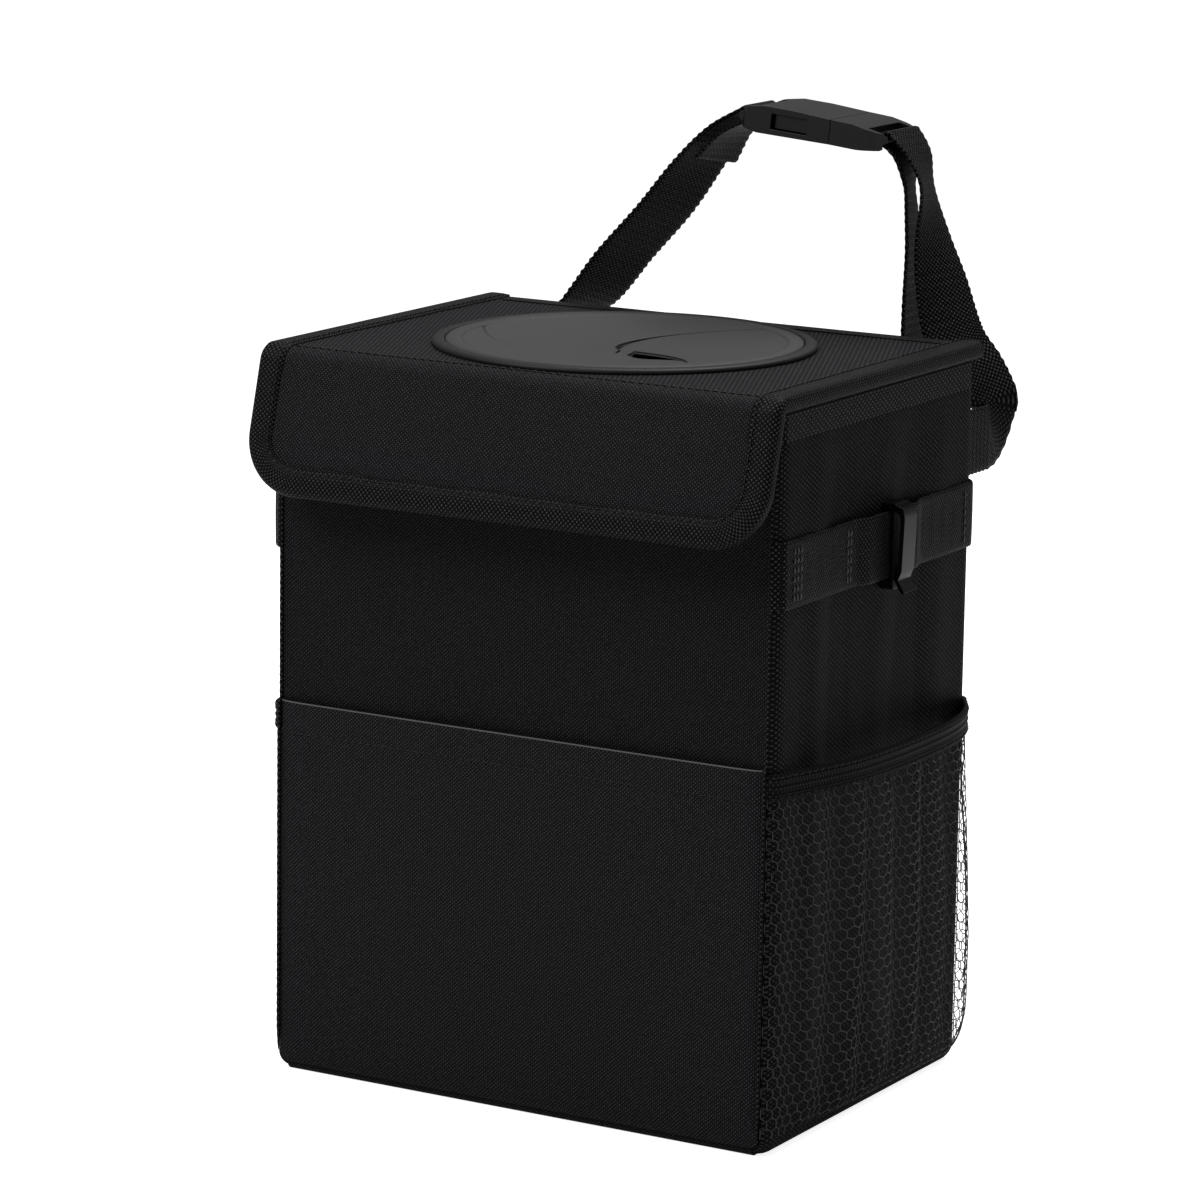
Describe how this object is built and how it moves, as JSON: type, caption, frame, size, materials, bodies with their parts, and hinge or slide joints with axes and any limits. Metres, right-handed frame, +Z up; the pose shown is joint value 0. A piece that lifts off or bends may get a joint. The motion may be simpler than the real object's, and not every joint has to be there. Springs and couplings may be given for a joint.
{
  "type": "car trash can",
  "caption": "Soft-sided fabric car bin with a swirl-petal mouth in its flap lid, side net pockets, hook clips on webbing and a buckled hanging strap.",
  "frame": {"origin": "centre of the body's footprint, on the floor under the bin", "axes": "+Z up, -Y towards the front with the slip pocket and the lid's flap, +X towards the bin's right in the picture"},
  "size_m": [0.242, 0.217, 0.3622],
  "materials": {
    "fabric": "woven",
    "board": "matte",
    "lining": "coated",
    "tape": "ribbed",
    "net": "net",
    "elastic": "ribbed",
    "webbing": "woven",
    "buckle_plastic": "satin",
    "ring_plastic": "matte",
    "rubber": "matte"
  },
  "bodies": {
    "bin": {"front_panel": "fabric", "back_panel": "fabric", "side_panel_left": "fabric", "side_panel_right": "fabric", "bottom_panel": "fabric", "front_board": "board", "back_board": "board", "bottom_board": "board", "liner": "lining", "front_pocket": "fabric", "rim_binding": "tape", "hinge_tape": "tape", "mesh_pocket_left": "net", "mesh_pocket_right": "net", "pocket_elastic_left": "elastic", "pocket_elastic_right": "elastic", "side_webbing_left": "webbing", "side_webbing_right": "webbing", "strap_left": "webbing", "strap_right": "webbing", "buckle_female": "buckle_plastic"},
    "lid": {"lid_cover": "fabric", "lid_board": "board", "flap_board": "board", "lid_lining": "lining", "lid_binding": "tape", "mouth_ring": "ring_plastic", "retaining_ring": "ring_plastic", "mouth_membrane": "rubber"},
    "petal_1": {"petal_1": "rubber"},
    "petal_2": {"petal_2": "rubber"},
    "petal_3": {"petal_3": "rubber"},
    "hook_left": {"hook_clip_left": "buckle_plastic"},
    "hook_right": {"hook_clip_right": "buckle_plastic"},
    "buckle_male": {"buckle_male": "buckle_plastic"}
  },
  "joints": [
    {"name": "lid_hinge", "type": "hinge", "parent": "bin", "child": "lid", "pos_m": [0, 0.077, 0.2741], "axis": [-1, 0, 0], "range_deg": [0, 88]},
    {"name": "petal_1_flex", "type": "hinge", "parent": "lid", "child": "petal_1", "pos_m": [-0.0155, 0.02385, 0.277], "axis": [0.866, 0.5, 0], "range_deg": [0, 50], "stiffness_Nm_per_rad": 0.2, "springref_deg": -5.73},
    {"name": "petal_2_flex", "type": "hinge", "parent": "lid", "child": "petal_2", "pos_m": [-0.0155, -0.02985, 0.277], "axis": [-0.866, 0.5, 0], "range_deg": [0, 50], "stiffness_Nm_per_rad": 0.2, "springref_deg": -5.73},
    {"name": "petal_3_flex", "type": "hinge", "parent": "lid", "child": "petal_3", "pos_m": [0.031, -0.003, 0.277], "axis": [0, -1, 0], "range_deg": [0, 50], "stiffness_Nm_per_rad": 0.2, "springref_deg": -5.73},
    {"name": "hook_left_slide", "type": "slide", "parent": "bin", "child": "hook_left", "axis": [0, 1, 0], "range_m": [-0.012, 0.012]},
    {"name": "hook_right_slide", "type": "slide", "parent": "bin", "child": "hook_right", "axis": [0, 1, 0], "range_m": [-0.012, 0.012]},
    {"name": "buckle_release", "type": "slide", "parent": "bin", "child": "buckle_male", "axis": [0.9962, 0, -0.0872], "range_m": [0, 0.026], "deforming": ["strap_right"]}
  ]
}
